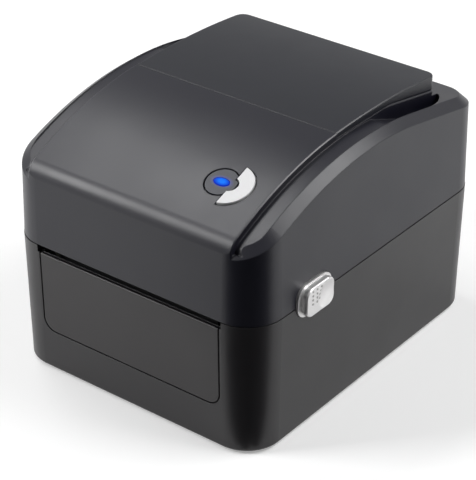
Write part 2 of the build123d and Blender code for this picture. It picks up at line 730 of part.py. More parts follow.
def side_plane(x, y, z):
    """A plane facing +X at the given point, with its own axes along Y and Z."""
    return Plane(origin=(x, y, z), x_dir=(0, 1, 0), z_dir=(1, 0, 0))


# angles of the lines of centres, seen from +X
platen_from_idler = degrees(atan2(platen_z - idler_z, platen_y - idler_y))
motor_from_idler = degrees(atan2(motor_z - idler_z, motor_y - idler_y))

with BuildPart() as engine_frame:
    slab(-ear_out_x, -frame_ear_x, platen_y - 10, platen_y + 22.7, platen_z - 12.9, support_z)
    slab(-ear_out_x, -frame_ear_x, platen_y - 10, motor_y + 22, motor_z - 19, platen_z - 10.9)
    slab(-74, -frame_ear_x, platen_y + 11.7, platen_y + 22.7, support_z - frame_sheet, support_z)
    slab(frame_ear_x, ear_out_x, platen_y - 10, platen_y + 11, platen_z - 14.9, support_z)
    slab(frame_ear_x, 74, platen_y - 8, platen_y - 6.2, support_z - frame_sheet, support_z)
    slab(frame_ear_x, 74, platen_y + 6.2, platen_y + 11, support_z - frame_sheet, support_z)
    slab(-ear_out_x, ear_out_x, platen_y - 9.5, platen_y + 2.5, platen_z - 13.1, platen_z - 11.9)
    rod_x(bearing_radius + seat_gap, -70, 70, platen_y, platen_z, mode=Mode.SUBTRACT)
    rod_x(idler_post_radius + seat_gap, -70, -60, idler_y, idler_z, mode=Mode.SUBTRACT)
    rod_x(5, -70, -60, motor_y, motor_z, mode=Mode.SUBTRACT)
    for y in (motor_y - 19.5, motor_y + 19.5):
        rod_x(screw_radius + seat_gap, -70, -60, y, motor_z, mode=Mode.SUBTRACT)
    engine_frame.part.label = "engine_frame"
export_step(engine_frame.part, "parts/engine_frame.step")

with BuildPart() as platen_shaft:
    rod_x(platen_shaft_radius, gear_plane_x - 0.4, 69, platen_y, platen_z)
    rod_x(platen_radius - 3, -platen_half_length, platen_half_length, platen_y, platen_z)
    platen_shaft.part.label = "platen_shaft"
export_step(platen_shaft.part, "parts/platen_shaft.step")

with BuildPart() as platen_rubber:
    rod_x(platen_radius, -platen_half_length, platen_half_length, platen_y, platen_z)
    rod_x(platen_radius - 3 + seat_gap, -60, 60, platen_y, platen_z, mode=Mode.SUBTRACT)
    chamfer(platen_rubber.edges().filter_by(GeomType.CIRCLE).sort_by(SortBy.RADIUS)[-2:], 0.5)
    platen_rubber.part.label = "platen_rubber"
export_step(platen_rubber.part, "parts/platen_rubber.step")

for side, name in ((-1, "bearing_left"), (1, "bearing_right")):
    with BuildPart() as bearing:
        rod_x(bearing_radius, side * (frame_ear_x - 0.9), side * (ear_out_x + 0.6), platen_y, platen_z)
        rod_x(platen_shaft_radius + running_gap, side * 60, side * 70, platen_y, platen_z,
              mode=Mode.SUBTRACT)
        bearing.part.label = name
    export_step(bearing.part, "parts/" + name + ".step")

with BuildPart() as platen_gear:
    with BuildSketch(side_plane(gear_plane_x, platen_y, platen_z)):
        add(gear_outline(platen_teeth, gear_module, platen_from_idler + 180))
        Circle(platen_shaft_radius + seat_gap, mode=Mode.SUBTRACT)
    extrude(amount=gear_width)
    platen_gear.part.label = "platen_gear"
export_step(platen_gear.part, "parts/platen_gear.step")

with BuildPart() as idler_gear:
    with BuildSketch(side_plane(big_gear_plane_x, idler_y, idler_z)):
        add(gear_outline(idler_large_teeth, gear_module, motor_from_idler))
    extrude(amount=gear_width)
    with BuildSketch(side_plane(big_gear_plane_x + gear_width - 0.5, idler_y, idler_z)):
        add(gear_outline(idler_small_teeth, gear_module, platen_from_idler + 180 / idler_small_teeth))
    extrude(amount=gear_plane_x + gear_width - big_gear_plane_x - gear_width + 0.5)
    rod_x(idler_post_radius + running_gap, -80, -60, idler_y, idler_z, mode=Mode.SUBTRACT)
    idler_gear.part.label = "idler_gear"
export_step(idler_gear.part, "parts/idler_gear.step")

with BuildPart() as idler_post:
    rod_x(idler_post_radius, big_gear_plane_x - 1.6, -frame_ear_x - seat_gap, idler_y, idler_z)
    rod_x(idler_post_radius + 1.2, big_gear_plane_x - 1.6, big_gear_plane_x - 0.5, idler_y, idler_z)
    rod_x(idler_post_radius + 1.2, gear_plane_x + gear_width + 0.3, -ear_out_x - seat_gap, idler_y, idler_z)
    idler_post.part.label = "idler_post"
export_step(idler_post.part, "parts/idler_post.step")

with BuildPart() as motor:
    motor_face_x = -frame_ear_x + seat_gap
    with BuildSketch(side_plane(motor_face_x, motor_y, motor_z)):
        Circle(motor_radius)
        SlotOverall(2 * 19.5 + 8, 8)
        with Locations((-19.5, 0), (19.5, 0)):
            Circle(screw_radius + seat_gap, mode=Mode.SUBTRACT)
    extrude(amount=1.2)
    rod_x(motor_radius, motor_face_x + 0.6, motor_face_x + motor_length, motor_y, motor_z)
    rod_x(4.6, motor_face_x - frame_sheet, motor_face_x + 1, motor_y, motor_z)
    rod_x(1 + running_gap, motor_face_x - 5, motor_face_x + 12, motor_y, motor_z, mode=Mode.SUBTRACT)
    chamfer(motor.edges().filter_by(GeomType.CIRCLE).sort_by(Axis.X)[-1], 1.2)
    slab(motor_face_x + 6, motor_face_x + 16, motor_y - 7, motor_y + 7, motor_z - motor_radius - 2.5,
         motor_z - 10)
    motor.part.label = "motor"
export_step(motor.part, "parts/motor.step")

with BuildPart() as motor_pinion:
    with BuildSketch(side_plane(big_gear_plane_x, motor_y, motor_z)):
        add(gear_outline(pinion_teeth, gear_module, motor_from_idler + 180 + 180 / pinion_teeth))
    extrude(amount=gear_width)
    rod_x(1, big_gear_plane_x + 1, motor_face_x + 11.5, motor_y, motor_z)
    motor_pinion.part.label = "motor_pinion"
export_step(motor_pinion.part, "parts/motor_pinion.step")

with BuildPart() as motor_screws:
    for y in (motor_y - 19.5, motor_y + 19.5):
        rod_x(2.2, -ear_out_x - 1.5, -ear_out_x - seat_gap, y, motor_z)
        rod_x(screw_radius, -ear_out_x - 1, motor_face_x + 2.2, y, motor_z)
    motor_screws.part.label = "motor_screws"
export_step(motor_screws.part, "parts/motor_screws.step")

# Roll holders: two arms that rise through the tray, on racks that one pinion keeps centred
arm_x = 51.0
arm_thickness = 3.0
hub_radius = 12.0
axle_radius = 4.0
rack_module = 0.8
centring_teeth = 18
centring_radius = rack_module * centring_teeth / 2
rack_width = 5.0
guide_post_radius = 2.5


def rack_teeth(x_from, x_to, offset):
    """Rack teeth seen from above, pointing down to the pitch line, with one centred at the offset."""
    step = pi * rack_module
    first = ceil((x_from - offset) / step)
    last = floor((x_to - offset) / step)
    with BuildSketch() as teeth:
        for tooth in range(first, last + 1):
            x = offset + tooth * step
            with BuildLine():
                Polyline((x - 0.30 * step, 1.25 * rack_module), (x - 0.10 * step, -0.9 * rack_module),
                         (x + 0.10 * step, -0.9 * rack_module), (x + 0.30 * step,
                                                                 1.25 * rack_module), close=True)
            make_face()
    return teeth.sketch


# The left holder is the right one turned half a turn about the pinion, but with its stem in the middle
for side, name in ((-1, "roll_holder_left"), (1, "roll_holder_right")):
    with BuildPart() as roll_holder:
        pitch_y = roll_centre_y + side * centring_radius
        root_y = pitch_y + side * 1.25 * rack_module
        slab(side * -6, side * 56, root_y - side * 0.1, root_y + side * (rack_width - 1), rack_z,
             rack_z + rack_height)
        rack_plane = Plane(origin=(0, pitch_y, rack_z), x_dir=(side, 0, 0), z_dir=(0, 0, 1))
        with BuildSketch(rack_plane):
            add(rack_teeth(-5, 55, pi * rack_module / 2))
        extrude(amount=rack_height)
        # arm, narrow through the slot and wide above it
        with BuildSketch(side_plane(side * arm_x, roll_centre_y, roll_z)):
            with BuildLine():
                low = rack_z + rack_height - 1 - roll_z
                neck = fitted_gap - roll_radius
                Polyline((-10, 0), (-9, neck + 4.6), (-4, neck), (-4, low), (4, low), (4, neck),
                         (9, neck + 4.6),
                         (10, 0))
                ThreePointArc((10, 0), (0, 10), (-10, 0))
            make_face()
        extrude(amount=side * arm_thickness)
        slab(side * arm_x, side * (arm_x + arm_thickness), roll_centre_y, root_y + side * (rack_width - 1),
             rack_z + rack_height - 1, rack_z + rack_height + 1.8)
        # stub axle with its snap head
        rod_x(axle_radius, side * (arm_x - 7.2), side * (arm_x + 1), roll_centre_y, roll_z)
        rod_x(axle_radius + 0.7, side * (arm_x - 7.2), side * (arm_x - 6.2), roll_centre_y, roll_z)
        roll_holder.part.label = name
    export_step(roll_holder.part, "parts/" + name + ".step")

for side, name in ((-1, "core_hub_left"), (1, "core_hub_right")):
    with BuildPart() as core_hub:
        rod_x(hub_radius, side * (arm_x - 5.9), side * (arm_x - 2.2), roll_centre_y, roll_z)
        rod_x(hub_radius + 3, side * (arm_x - 1.7), side * (arm_x - 0.3), roll_centre_y, roll_z)
        rod_x(hub_radius - 3, side * (arm_x - 2.4), side * (arm_x - 1.5), roll_centre_y, roll_z)
        rod_x(hub_radius - 1.8, side * (arm_x - 7), side * (arm_x - 3.4), roll_centre_y, roll_z,
              mode=Mode.SUBTRACT)
        rod_x(axle_radius + 2, side * (arm_x - 5.9), side * (arm_x - 3), roll_centre_y, roll_z)
        rod_x(axle_radius + running_gap, side * (arm_x - 8), side * (arm_x + 1), roll_centre_y, roll_z,
              mode=Mode.SUBTRACT)
        core_hub.part.label = name
    export_step(core_hub.part, "parts/" + name + ".step")

with BuildPart() as centring_pinion:
    with BuildSketch(Plane(origin=(0, roll_centre_y, rack_z + 0.1))):
        add(gear_outline(centring_teeth, rack_module, 90))
        Circle(guide_post_radius + running_gap, mode=Mode.SUBTRACT)
    extrude(amount=rack_height - 0.2)
    centring_pinion.part.label = "centring_pinion"
export_step(centring_pinion.part, "parts/centring_pinion.step")

with BuildPart() as rack_guide:
    rail_in = centring_radius + 1.25 * rack_module + rack_width - 1 + sliding_gap
    slab(-60, 60, roll_centre_y - rail_in - 2, roll_centre_y + rail_in + 2, floor_top_z + seat_gap,
         rack_z - sliding_gap)
    for side in (-1, 1):
        slab(-60, 60, roll_centre_y + side * rail_in, roll_centre_y + side * (rail_in + 2),
             floor_top_z + seat_gap,
             rack_z + rack_height + 1)
    rod_z(guide_post_radius, 0, roll_centre_y, floor_top_z + 1, rack_z + rack_height + 0.4)
    rack_guide.part.label = "rack_guide"
export_step(rack_guide.part, "parts/rack_guide.step")

# Label sensor: a small carriage that is slid along a rod under the deck
carriage_half_length = 8.0
with BuildPart() as sensor_rail:
    rod_x(1.5, -62, 62, sensor_y, sensor_rail_z)
    sensor_rail.part.label = "sensor_rail"
export_step(sensor_rail.part, "parts/sensor_rail.step")

with BuildPart() as sensor_carriage:
    slab(-carriage_half_length, carriage_half_length, sensor_y - 6, sensor_y + 6, sensor_rail_z - 3.6,
         deck_under_z - sliding_gap)
    slab(-carriage_half_length, carriage_half_length, sensor_y - 2.6, sensor_y + 2.6, sensor_rail_z,
         deck_top_z + 0.3)
    chamfer(sensor_carriage.faces().sort_by(Axis.Z)[-1].edges(), 0.4)
    rod_x(1.5 + running_gap, -20, 20, sensor_y, sensor_rail_z, mode=Mode.SUBTRACT)
    rod_z(1.3, 0, sensor_y, deck_top_z - 1.5, deck_top_z + 1, mode=Mode.SUBTRACT)
    sensor_carriage.part.label = "sensor_carriage"
export_step(sensor_carriage.part, "parts/sensor_carriage.step")

# Main board with its sockets, and the power switch in the rear wall
board_top_z = board_z + board_thickness
with BuildPart() as main_board:
    slab(-60, 62, board_front_y, board_rear_y, board_z, board_top_z)
    for x, y in standoff_places:
        rod_z(screw_radius + 0.2, x, y, board_z - 1, board_top_z + 1, mode=Mode.SUBTRACT)
    # processor, memory, power parts and a connector for the motor
    slab(-30, -12, board_front_y + 11, board_front_y + 29, board_top_z - 0.1, board_top_z + 1.6)
    slab(-4, 6, board_front_y + 15, board_front_y + 27, board_top_z - 0.1, board_top_z + 1.2)
    slab(-48, -38, board_front_y + 7, board_front_y + 35, board_top_z - 0.1, board_top_z + 7)
    for x in (18, 28, 38):
        rod_z(3.6, x, board_front_y + 11, board_top_z - 0.1, board_top_z + 7)
    slab(14, 26, board_front_y + 21, board_front_y + 31, board_top_z - 0.1, board_top_z + 4)
    main_board.part.label = "main_board"
export_step(main_board.part, "parts/main_board.step")

with BuildPart() as board_screws:
    for x, y in standoff_places:
        rod_z(screw_head_radius, x, y, board_top_z + seat_gap, board_top_z + screw_head_height)
        rod_z(screw_radius, x, y, floor_top_z + 1, board_top_z + 0.5)
    board_screws.part.label = "board_screws"
export_step(board_screws.part, "parts/board_screws.step")

with BuildPart() as dc_jack:
    slab(jack_x - 5, jack_x + 5, half_depth - 18.7, half_depth - 4.3, board_top_z + seat_gap, socket_z + 5.2)
    rod_y(4.4, jack_x, half_depth - 5, half_depth - 1.3, socket_z)
    rod_y(3.0, jack_x, half_depth - 13, half_depth, socket_z, mode=Mode.SUBTRACT)
    rod_y(1.0, jack_x, half_depth - 14, half_depth - 2.5, socket_z)
    dc_jack.part.label = "dc_jack"
export_step(dc_jack.part, "parts/dc_jack.step")

with BuildPart() as usb_socket:
    slab(usb_x - 6, usb_x + 6, half_depth - 19.7, half_depth - 1.6, board_top_z + seat_gap, socket_z + 5.4)
    slab(usb_x - 4.6, usb_x + 4.6, half_depth - 15.7, half_depth, socket_z - 4.2, socket_z + 4.2,
         mode=Mode.SUBTRACT)
    slab(usb_x - 2.8, usb_x + 2.8, half_depth - 16.7, half_depth - 3, socket_z - 1.6, socket_z + 1.6)
    usb_socket.part.label = "usb_socket"
export_step(usb_socket.part, "parts/usb_socket.step")

rocker_radius = 9.5
rocker_rest = 7.0
switch_local = (-switch_x, switch_z - seam_z)
with BuildPart() as switch_body:
    with BuildSketch(rear_plane.offset(seat_gap)):
        with Locations(switch_local):
            RectangleRounded(switch_length + 4, switch_height + 4, 2)
    extrude(amount=1.2)
    with BuildSketch(rear_plane.offset(-13)):
        with Locations(switch_local):
            Rectangle(switch_length - 0.6, switch_height - 0.6)
    extrude(amount=13.5)
    with BuildSketch(rear_plane.offset(-7)):
        with Locations(switch_local):
            Rectangle(switch_length - 3.4, switch_height - 3)
    extrude(amount=12, mode=Mode.SUBTRACT)
    switch_body.part.label = "switch_body"
export_step(switch_body.part, "parts/switch_body.step")

rocker_axis_y = half_depth - lower_inset(switch_z) - 3.2
with BuildPart() as power_rocker:
    rocker_plane = Plane(origin=(switch_x - switch_length / 2 + 2.0, rocker_axis_y, switch_z),
                         x_dir=(0, cos(radians(rocker_rest)), sin(radians(rocker_rest))), z_dir=(1, 0, 0))
    with BuildSketch(rocker_plane):
        with BuildLine():
            Polyline((5.6, -5.0), (5.6, 5.0), (-2.2, 4.2), (-2.2, -4.2), close=True)
        make_face()
        with Locations((5.0 + rocker_radius, 0)):
            Circle(rocker_radius, mode=Mode.SUBTRACT)
    extrude(amount=switch_length - 4.0)
    power_rocker.part.label = "power_rocker"
export_step(power_rocker.part, "parts/power_rocker.step")

# Inner moulding of the cover: plate, dome over the roll and housings of the two latches
liner_z = cover_bottom_z + 0.95
liner_top_z = liner_z + 2.5
dome_radius = roll_radius + dome_clearance
latch_x = 74.0
latch_pivot_z = liner_top_z + 25.0
latch_pin_radius = 1.5
latch_half_width = 5.5
head_pivot_y = platen_y + 24.7
with BuildPart() as cover_liner:
    liner_inset = wall + fitted_gap + cover_inset(liner_z)
    with BuildSketch(Plane.XY.offset(liner_z)):
        RectangleRounded(case_width - 2 * liner_inset, case_depth - 2 * liner_inset,
                         corner_radius - liner_inset)
    extrude(amount=liner_top_z - liner_z)
    slab(-half_width, half_width, half_depth - 13.2, half_depth, liner_z - 1, liner_top_z + 1,
         mode=Mode.SUBTRACT)
    slab(-61, 61, -half_depth, head_pivot_y + 5, liner_z - 1, liner_top_z + 1, mode=Mode.SUBTRACT)
    rod_x(dome_radius + tray_wall, -64, 64, roll_centre_y, roll_z)
    slab(-half_width, half_width, -half_depth, half_depth, roll_z - dome_radius - tray_wall - 1, liner_z,
         mode=Mode.SUBTRACT)
    rod_x(dome_radius, -61.8, 61.8, roll_centre_y, roll_z, mode=Mode.SUBTRACT)
    for side in (-1, 1):
        slab(side * 66, side * 83.5, release_y - slot_length / 2, release_y + slot_length / 2, liner_z - 1,
             liner_top_z + 1, mode=Mode.SUBTRACT)
        slab(side * 79.6, side * half_width, release_y - 18.6, release_y + 18.6, liner_z - 1,
             liner_top_z + 1,
             mode=Mode.SUBTRACT)
        # housing of the latch: two cheeks, and a wall that guides the release button's stem
        for y in (release_y - slot_length / 2 - 2, release_y + slot_length / 2):
            slab(side * 68, side * 79.4, y, y + 2, liner_z, latch_pivot_z + 4)
            rod_y(latch_pin_radius + seat_gap, side * latch_x, y - 1, y + 3, latch_pivot_z,
                  mode=Mode.SUBTRACT)
        slab(side * 78, side * 79.4, release_y - slot_length / 2 - 1, release_y + slot_length / 2 + 1,
             liner_z,
             latch_pivot_z - 6)
        slab(side * 77, side * 80, release_y - 6.8, release_y + 6.8, release_z + 0.7, release_z + 8.7,
             mode=Mode.SUBTRACT)
        slab(side * 77, side * 80, release_y - 6.8, release_y + 6.8, liner_z - 1, liner_top_z,
             mode=Mode.SUBTRACT)
    for x, y in liner_post_places:
        rod_z(screw_radius + 0.2, x, y, liner_z - 1, liner_top_z + 1, mode=Mode.SUBTRACT)
    cover_liner.part.label = "cover_liner"
export_step(cover_liner.part, "parts/cover_liner.step")

with BuildPart() as liner_screws:
    for x, y in liner_post_places:
        screw(x, y, liner_z - seat_gap, 1)
    liner_screws.part.label = "liner_screws"
export_step(liner_screws.part, "parts/liner_screws.step")

# Release buttons in the side walls, and the latches that they push
for side, name in ((-1, "release_button_left"), (1, "release_button_right")):
    with BuildPart() as release_button:
        with BuildSketch(Plane.YZ.offset(side * (half_width - 2.6))):
            with Locations((release_y, release_z)):
                RectangleRounded(release_length, release_height, 8)
        extrude(amount=side * (2.6 + release_base_proud))
        with BuildSketch(Plane.YZ.offset(side * (half_width + release_base_proud - 0.2))):
            with Locations((release_y, release_z)):
                RectangleRounded(release_face_length, release_face_height, 5.5)
        extrude(amount=side * (release_proud - release_base_proud + 0.2))
        outer_face = release_button.faces().sort_by(Axis.X)[0 if side < 0 else -1]
        fillet(outer_face.edges(), 1.2)
        # shallow dish for the fingertip
        with Locations(Location((side * (half_width + release_proud + 16), release_y + 5.5, release_z),
                                (0, 0, 90 - 90 * side))):
            Sphere(18, mode=Mode.SUBTRACT)
        # stem towards the latch, and a flange that keeps the button in the wall
        slab(side * 76.2, side * (half_width - 2), release_y - 6.5, release_y + 6.5, release_z + 1,
             release_z + 8)
        slab(side * (half_width - 5.4), side * (half_width - 2.9), release_y - 17.5, release_y + 17.5,
             release_z + 0.6, release_z + 8.8)
        slab(side * (half_width - 3), side * (half_width - 2), release_y - 12, release_y + 12,
             release_z + 0.6, release_z + 8.8)
        release_button.part.label = name
    export_step(release_button.part, "parts/" + name + ".step")

for side, name in ((-1, "latch_left"), (1, "latch_right")):
    with BuildPart() as latch:
        slab(side * (latch_x - 2), side * (latch_x + 1.6), release_y - latch_half_width,
             release_y + latch_half_width,
             ledge_under_z - 5.3, latch_pivot_z)
        with BuildSketch(Plane.XZ.offset(-release_y - latch_half_width)):
            with BuildLine():
                Polyline((side * (latch_x + 1), ledge_under_z - 5.3),
                         (side * (latch_x + 1), ledge_under_z - 0.3),
                         (side * (ledge_x - 0.3), ledge_under_z - 0.3), (side * (ledge_x - 0.3),
                                                                         ledge_under_z - 1.8),
                         (side * (latch_x + 2.6), ledge_under_z - 5.3), close=True)
            make_face()
        extrude(amount=2 * latch_half_width)
        rod_y(4, side * latch_x, release_y - latch_half_width, release_y + latch_half_width, latch_pivot_z)
        slab(side * (latch_x - 2), side * (latch_x - 0.8), release_y - 2, release_y + 2, latch_pivot_z,
             latch_pivot_z + 12)
        rod_y(latch_pin_radius + running_gap, side * latch_x, release_y - 10, release_y + 10, latch_pivot_z,
              mode=Mode.SUBTRACT)
        latch.part.label = name
    export_step(latch.part, "parts/" + name + ".step")

for side, name in ((-1, "latch_pin_left"), (1, "latch_pin_right")):
    with BuildPart() as latch_pin:
        rod_y(latch_pin_radius, side * latch_x, release_y - slot_length / 2 - 2.4,
              release_y + slot_length / 2 + 2.4,
              latch_pivot_z)
        latch_pin.part.label = name
    export_step(latch_pin.part, "parts/" + name + ".step")

# Print head, hung on a rod in its carrier and pressed down on the platen by two springs
head_half_length = 57.0
head_front_y = platen_y - 6.3
head_pivot_z = liner_top_z + 1.1
head_bottom_z = platen_z + platen_radius + 0.3
sink_z = head_bottom_z + 1.1
sink_height = 4.0
carrier_top_z = liner_top_z + 9.0
with BuildPart() as head_carrier:
    slab(-60.8, 60.8, head_front_y - 2, head_pivot_y + 4, carrier_top_z, carrier_top_z + 1.5)
    for side in (-1, 1):
        slab(side * 59.3, side * 60.8, head_front_y - 2, head_pivot_y + 4, liner_top_z - 2.2,
             carrier_top_z + 1)
        slab(side * 59.3, side * 69.5, head_front_y - 2, head_pivot_y - 4, liner_top_z + seat_gap,
             liner_top_z + 1.5)
    rod_x(latch_pin_radius + seat_gap, -63, 63, head_pivot_y, head_pivot_z, mode=Mode.SUBTRACT)
    head_carrier.part.label = "head_carrier"
export_step(head_carrier.part, "parts/head_carrier.step")

with BuildPart() as head_pivot:
    rod_x(latch_pin_radius, -60.8, 60.8, head_pivot_y, head_pivot_z)
    head_pivot.part.label = "head_pivot"
export_step(head_pivot.part, "parts/head_pivot.step")

with BuildPart() as heat_sink:
    slab(-head_half_length, head_half_length, head_front_y, head_pivot_y - 3, sink_z, sink_z + sink_height)
    for fin in range(9):
        x = (fin - 4) * 12.0
        slab(x - 4.4, x + 4.4, head_front_y + 15, head_pivot_y - 5, sink_z + sink_height - 1.5,
             sink_z + sink_height + 1, mode=Mode.SUBTRACT)
    for side in (-1, 1):
        slab(side * (head_half_length - 3), side * head_half_length, head_pivot_y - 4, head_pivot_y, sink_z,
             head_pivot_z)
        rod_x(3.2, side * (head_half_length - 3), side * head_half_length, head_pivot_y, head_pivot_z)
    rod_x(latch_pin_radius + running_gap, -63, 63, head_pivot_y, head_pivot_z, mode=Mode.SUBTRACT)
    heat_sink.part.label = "heat_sink"
export_step(heat_sink.part, "parts/heat_sink.step")

with BuildPart() as head_ceramic:
    slab(-head_half_length + 3, head_half_length - 3, head_front_y + 1, head_front_y + 13, head_bottom_z,
         sink_z - seat_gap)
    head_ceramic.part.label = "head_ceramic"
export_step(head_ceramic.part, "parts/head_ceramic.step")

spring_wire = 0.5
for x, name in ((-30.0, "head_spring_left"), (30.0, "head_spring_right")):
    with BuildPart() as head_spring:
        spring_low = sink_z + sink_height + spring_wire + seat_gap
        spring_high = carrier_top_z - spring_wire - seat_gap
        spring_plane = Plane(origin=(x, head_front_y + 9, spring_low))
        with BuildLine(spring_plane) as coil:
            Helix(pitch=(spring_high - spring_low) / 4, height=spring_high - spring_low, radius=3.2)
        with BuildSketch(Plane(origin=coil.line @ 0, z_dir=coil.line % 0)):
            RegularPolygon(spring_wire, 8)
        sweep(path=coil.line, is_frenet=True)
        head_spring.part.label = name
    export_step(head_spring.part, "parts/" + name + ".step")

# Tear bar, a toothed strip across the cover's front above the label outlet
tear_half_length = 59.0
tear_pitch = 2.0
tear_low_z = cover_bottom_z + 0.4
with BuildPart() as tear_bar:
    with BuildSketch(Plane.XZ.offset(half_depth - 4.3)):
        with BuildLine():
            tear_points = []
            for tooth in range(int(2 * tear_half_length / tear_pitch)):
                x = -tear_half_length + tooth * tear_pitch
                tear_points += [(x, tear_low_z + 1), (x + tear_pitch / 2, tear_low_z)]
            Polyline(*tear_points, (tear_half_length, tear_low_z + 1), (tear_half_length, tear_low_z + 8),
                     (-tear_half_length, tear_low_z + 8), close=True)
        make_face()
    extrude(amount=1)
    tear_bar.part.label = "tear_bar"
export_step(tear_bar.part, "parts/tear_bar.step")

# Feed button, status disc and light, and the small board behind them
button_depth = 4.6
tact_local_x = 14.7
with BuildPart() as feed_button:
    with BuildSketch(feed_plane.offset(-button_depth)):
        add(feed_button_outline(0))
    extrude(amount=button_depth + 0.6)
    top_face = feed_button.faces().filter_by(GeomType.PLANE).sort_by(Axis.Z)[-1]
    fillet(top_face.edges(), 0.5)
    # rim under the skin keeps the button from falling out, and a plunger reaches the switch
    with BuildSketch(feed_plane.offset(-button_depth)):
        with Locations((feed_button_shift, 0)):
            Circle(feed_button_radius + 1.5)
            Circle(feed_button_radius - 1.4, mode=Mode.SUBTRACT)
        with Locations((feed_cut_x + 2 - 40, 0)):
            Rectangle(80, 80, mode=Mode.SUBTRACT)
    extrude(amount=button_depth - 3.5)
    with BuildSketch(feed_plane.offset(-board_depth + 3.9)):
        with Locations((tact_local_x, 0)):
            Circle(2.5)
    extrude(amount=board_depth - button_depth - 3.4)
    feed_button.part.label = "feed_button"
export_step(feed_button.part, "parts/feed_button.step")

with BuildPart() as status_disc:
    with BuildSketch(feed_plane.offset(-3.5)):
        Circle(feed_disc_radius)
        add(feed_button_outline(feed_gap), mode=Mode.SUBTRACT)
        Ellipse(light_length / 2, light_width / 2, mode=Mode.SUBTRACT)
    extrude(amount=3.3)
    with BuildSketch(feed_plane.offset(-3.5)):
        Circle(feed_disc_radius + 1.4)
        with Locations((40 + feed_cut_x - 2.4, 0)):
            Rectangle(80, 80, mode=Mode.SUBTRACT)
        Ellipse(light_length / 2, light_width / 2, mode=Mode.SUBTRACT)
    extrude(amount=3.5 - wall - 0.4)
    with BuildSketch(feed_plane.offset(-board_depth + seat_gap)):
        with Locations((-7, 5), (-7, -5)):
            Circle(1.2)
    extrude(amount=board_depth - 3)
    status_disc.part.label = "status_disc"
export_step(status_disc.part, "parts/status_disc.step")

with BuildPart() as status_light:
    with BuildSketch(feed_plane.offset(-6)):
        Ellipse(light_length / 2 - 0.1, light_width / 2 - 0.1)
    extrude(amount=6)
    chamfer(status_light.faces().filter_by(GeomType.PLANE).sort_by(Axis.Z)[-1].edges(), 0.4)
    with BuildSketch(feed_plane.offset(-6)):
        Ellipse(light_length / 2 + 1, light_width / 2 + 1)
    extrude(amount=2.4)
    status_light.part.label = "status_light"
export_step(status_light.part, "parts/status_light.step")

with BuildPart() as button_board:
    with BuildSketch(feed_plane.offset(-board_depth - board_thickness)):
        with Locations((4, 0)):
            Rectangle(47, 30)
        with Locations(*board_post_places):
            Circle(screw_radius + 0.2, mode=Mode.SUBTRACT)
    extrude(amount=board_thickness)
    with BuildSketch(feed_plane.offset(-board_depth - 0.1)):
        with Locations((tact_local_x, 0)):
            Rectangle(6, 6)
        Rectangle(3.5, 2.8)
    extrude(amount=1.6)
    with BuildSketch(feed_plane.offset(-board_depth)):
        with Locations((tact_local_x, 0)):
            Circle(1.7)
    extrude(amount=2.8)
    button_board.part.label = "button_board"
export_step(button_board.part, "parts/button_board.step")
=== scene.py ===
import json
import math

import bmesh
import bpy
from mathutils import Matrix, Vector
from mathutils.bvhtree import BVHTree


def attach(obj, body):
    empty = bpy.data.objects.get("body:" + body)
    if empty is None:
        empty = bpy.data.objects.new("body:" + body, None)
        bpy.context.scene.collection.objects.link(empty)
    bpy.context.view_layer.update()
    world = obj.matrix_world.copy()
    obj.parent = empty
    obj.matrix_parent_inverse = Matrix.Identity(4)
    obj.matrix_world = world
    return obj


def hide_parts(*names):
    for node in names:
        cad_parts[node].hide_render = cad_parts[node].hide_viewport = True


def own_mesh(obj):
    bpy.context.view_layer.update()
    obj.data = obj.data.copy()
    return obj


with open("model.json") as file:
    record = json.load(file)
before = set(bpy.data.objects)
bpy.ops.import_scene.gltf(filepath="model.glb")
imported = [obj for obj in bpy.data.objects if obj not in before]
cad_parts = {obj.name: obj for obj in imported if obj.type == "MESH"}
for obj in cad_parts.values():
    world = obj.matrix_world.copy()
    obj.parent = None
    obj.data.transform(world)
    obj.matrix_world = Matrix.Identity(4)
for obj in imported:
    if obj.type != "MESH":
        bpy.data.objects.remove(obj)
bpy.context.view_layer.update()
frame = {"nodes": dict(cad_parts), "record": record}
nodes = frame["nodes"]
slot_of = {part["node"]: part["material_slot"] for part in frame["record"]["subparts"]}

# All lengths are in metres.
WHITE = (1.0, 1.0, 1.0, 1.0)

# Camera, fitted to the photograph's outline; the focal length is in pixels of a 480 pixel high frame
CAMERA_PLACE = Vector((0.59280, -0.77818, 0.63648))
CAMERA_AZIMUTH = math.radians(37.691)
CAMERA_ELEVATION = math.radians(30.568)
CAMERA_ROLL = math.radians(0.167)
FOCAL_PIXELS = 1923.75
FRAME_HEIGHT_PIXELS = 480
SENSOR_MILLIMETRES = 36.0

# Textures: grains, clouds, streaks or tracks in a metre
PLASTIC_GRAIN = 2600.0
PLASTIC_CLOUDS = 22.0
METAL_STREAKS = 60.0
RUBBER_GRAIN = 1500.0
LENS_CLOUDS = 900.0
BOARD_TRACKS = 120.0
NOISE_ROUGHNESS = 0.55
NOISE_LOW = 0.3
NOISE_HIGH = 0.7
BEVEL_SAMPLES = 4

# Status light, in shares of its lens: where its colour starts to fall, and how far it spills onto the disc
LENS_CORE = 0.35
SPILL_REACH = 1.6

# Faces of the lens: how far up they look, and how far under the top they may lie
LENS_FACES_UP = 0.8
LENS_DEPTH = 0.0003

# Studio: name, place, width, height and power of each lamp
LAMP_TARGET = (0.0, 0.0, 0.09)
LAMPS = (
    ("overhead", (-0.65, 0.02, 1.22), 0.7, 0.4, 6.2),
    ("key", (-0.88, -0.87, 0.87), 0.5, 0.8, 14.0),
    ("bevel_light", (0.64, 0.48, 1.08), 0.95, 0.4, 11.0),
    ("right_fill", (1.30, 0.15, 0.55), 0.8, 0.6, 3.0),
)
WORLD_LIGHT = 0.05

# In reflections: how white the ceiling is, and how steeply up its even part begins
CEILING_WHITE = 0.42
CEILING_FROM = 0.4

